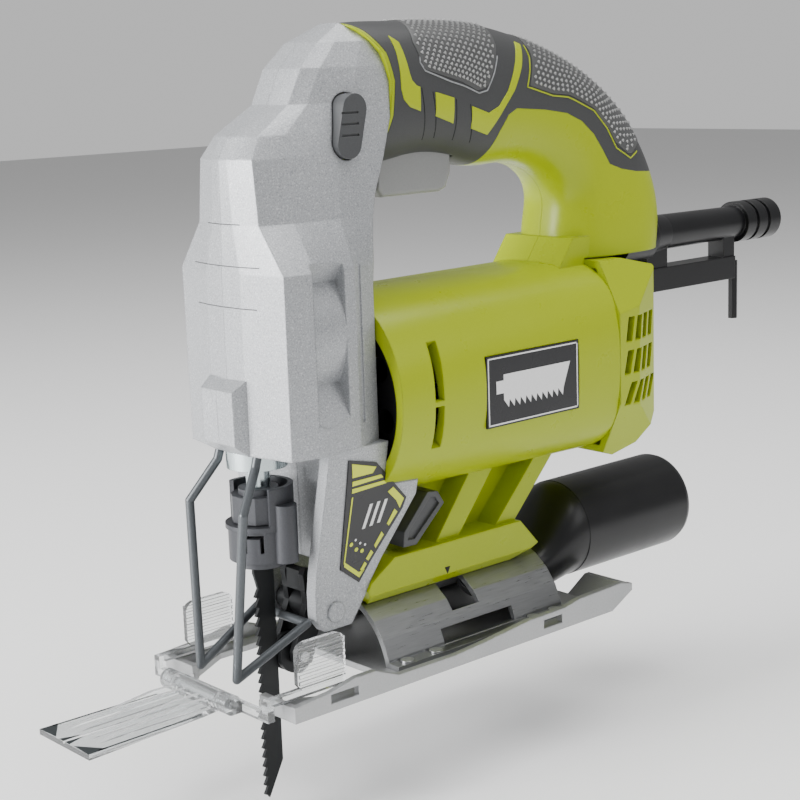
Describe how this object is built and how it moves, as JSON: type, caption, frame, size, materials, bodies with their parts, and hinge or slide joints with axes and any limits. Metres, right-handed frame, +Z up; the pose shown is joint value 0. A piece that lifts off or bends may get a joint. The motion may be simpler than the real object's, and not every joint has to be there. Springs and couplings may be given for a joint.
{
  "type": "jigsaw",
  "caption": "Corded D-handle jigsaw power tool with tilting shoe, tool-free blade clamp, wire finger guard, clear sight pointer and rear dust port.",
  "frame": {"origin": "where the blade's centre line meets the sole plane", "axes": "+X forward along the cut, +Y to the tool's left, +Z up from the work"},
  "size_m": [0.35, 0.074, 0.2554],
  "materials": {
    "silver_paint": "silver metallic speckle",
    "lime_plastic": "satin moulded",
    "grey_rubber": "soft textured overmould",
    "dark_plastic": "fine grain",
    "black_plastic": "satin",
    "grey_plastic": "satin",
    "clamp_metal": "grey coated",
    "steel": "brushed",
    "rod_steel": "ground",
    "blade_steel": "black oxide",
    "wire_steel": "grey coated",
    "aluminium": "cast",
    "copper": "enamelled copper",
    "bronze": "sintered",
    "carbon": "dry",
    "clear_plastic": "clear moulded",
    "label_black": "printed film",
    "badge_black": "printed",
    "screw_steel": "black zinc"
  },
  "bodies": {
    "housing": {"nose_left": "silver_paint", "nose_right": "silver_paint", "shell_left": "lime_plastic", "shell_right": "lime_plastic", "grip_left": "grey_rubber", "grip_right": "grey_rubber", "rear_cap": "lime_plastic", "switch_module": "black_plastic", "cable_sleeve": "black_plastic", "front_plate": "black_plastic", "front_bearing": "steel", "rear_bearing": "steel", "field_core": "steel", "field_coils": "copper", "brush_carrier": "black_plastic", "brushes": "carbon", "gear_spindle": "steel", "bush_lower": "rod_steel", "bush_upper": "bronze", "wire_guard": "wire_steel", "arm_pin": "silver_paint", "side_label": "label_black", "badge_plate": "badge_black", "housing_screws": "screw_steel", "cap_screws": "screw_steel", "bevel_screw": "screw_steel", "bevel_washer": "steel", "bevel_nut": "steel"},
    "armature": {"armature_shaft": "steel", "armature_core": "steel", "armature_windings": "copper", "commutator": "copper", "fan": "black_plastic"},
    "crank": {"drive_gear": "steel", "crank_pin": "steel", "crank_roller": "steel"},
    "plunger": {"plunger_rod": "rod_steel", "yoke": "steel", "clamp_body": "clamp_metal"},
    "clamp_lever": {"clamp_lever": "clamp_metal"},
    "blade": {"blade": "blade_steel"},
    "roller_arm": {"roller_arm": "blade_steel", "roller_pin": "steel"},
    "guide_roller": {"guide_roller": "blade_steel"},
    "orbit_selector": {"orbit_selector": "dark_plastic"},
    "blower_lever": {"blower_lever": "dark_plastic"},
    "trigger": {"trigger": "grey_plastic"},
    "lock_button": {"lock_button": "dark_plastic"},
    "hex_key": {"hex_key": "blade_steel"},
    "shoe": {"shoe_plate": "aluminium", "bevel_bracket": "steel", "bracket_rivets": "steel"},
    "guide": {"guide_frame": "clear_plastic", "hinge_pin": "clear_plastic"},
    "pointer": {"sight_pointer": "clear_plastic"},
    "dust_port": {"dust_port": "black_plastic"}
  },
  "joints": [
    {"name": "trigger_press", "type": "slide", "parent": "housing", "child": "trigger", "axis": [0, 0, 1], "range_m": [0, 0.005], "stiffness_N_per_m": 600, "springref_m": -0.008},
    {"name": "lock_press", "type": "slide", "parent": "housing", "child": "lock_button", "axis": [0, -1, 0], "range_m": [0, 0.0025], "stiffness_N_per_m": 400, "springref_m": -0.006},
    {"name": "armature_spin", "type": "hinge", "parent": "housing", "child": "armature", "pos_m": [-0.09, 0, 0.091], "axis": [1, 0, 0], "continuous": true},
    {"name": "gear_spin", "type": "hinge", "parent": "housing", "child": "crank", "pos_m": [-0.016, 0, 0.1171], "axis": [1, 0, 0], "continuous": true},
    {"name": "plunger_stroke", "type": "slide", "parent": "housing", "child": "plunger", "axis": [0, 0, -1], "range_m": [-0.004, 0.016]},
    {"name": "clamp_turn", "type": "hinge", "parent": "plunger", "child": "clamp_lever", "pos_m": [0, 0, 0.05], "axis": [0, 0, -1], "range_deg": [0, 60], "stiffness_Nm_per_rad": 0.02, "springref_deg": -34.38},
    {"name": "blade_pull", "type": "slide", "parent": "plunger", "child": "blade", "axis": [0, 0, -1], "range_m": [0, 0.06]},
    {"name": "roller_arm_swing", "type": "hinge", "parent": "housing", "child": "roller_arm", "pos_m": [-0.0173, 0, 0.0233], "axis": [0, 1, 0], "range_deg": [0, 8]},
    {"name": "roller_spin", "type": "hinge", "parent": "roller_arm", "child": "guide_roller", "pos_m": [-0.01, 0, 0.0075], "axis": [0, 1, 0], "continuous": true},
    {"name": "orbit_select", "type": "hinge", "parent": "housing", "child": "orbit_selector", "pos_m": [-0.023, -0.022, 0.062], "axis": [0, 1, 0], "range_deg": [-70, 0]},
    {"name": "blower_swing", "type": "hinge", "parent": "housing", "child": "blower_lever", "pos_m": [-0.062, 0.01, 0.05], "axis": [0, 1, 0], "range_deg": [-10, 0]},
    {"name": "key_pull", "type": "slide", "parent": "housing", "child": "hex_key", "axis": [-1, 0, 0], "range_m": [0, 0.06]},
    {"name": "shoe_bevel", "type": "hinge", "parent": "housing", "child": "shoe", "pos_m": [0, 0, -0.002], "axis": [1, 0, 0], "range_deg": [-45, 45]},
    {"name": "guide_pull", "type": "slide", "parent": "shoe", "child": "guide", "axis": [1, 0, 0], "range_m": [0, 0.06]},
    {"name": "pointer_flip", "type": "hinge", "parent": "guide", "child": "pointer", "pos_m": [0.0276, 0, 0.004], "axis": [0, -1, 0], "range_deg": [0, 90]},
    {"name": "port_pull", "type": "slide", "parent": "shoe", "child": "dust_port", "axis": [-1, 0, 0], "range_m": [0, 0.05]}
  ],
  "couplings": [
    {"joint": "gear_spin", "follows": "armature_spin", "ratio": -0.20833}
  ]
}
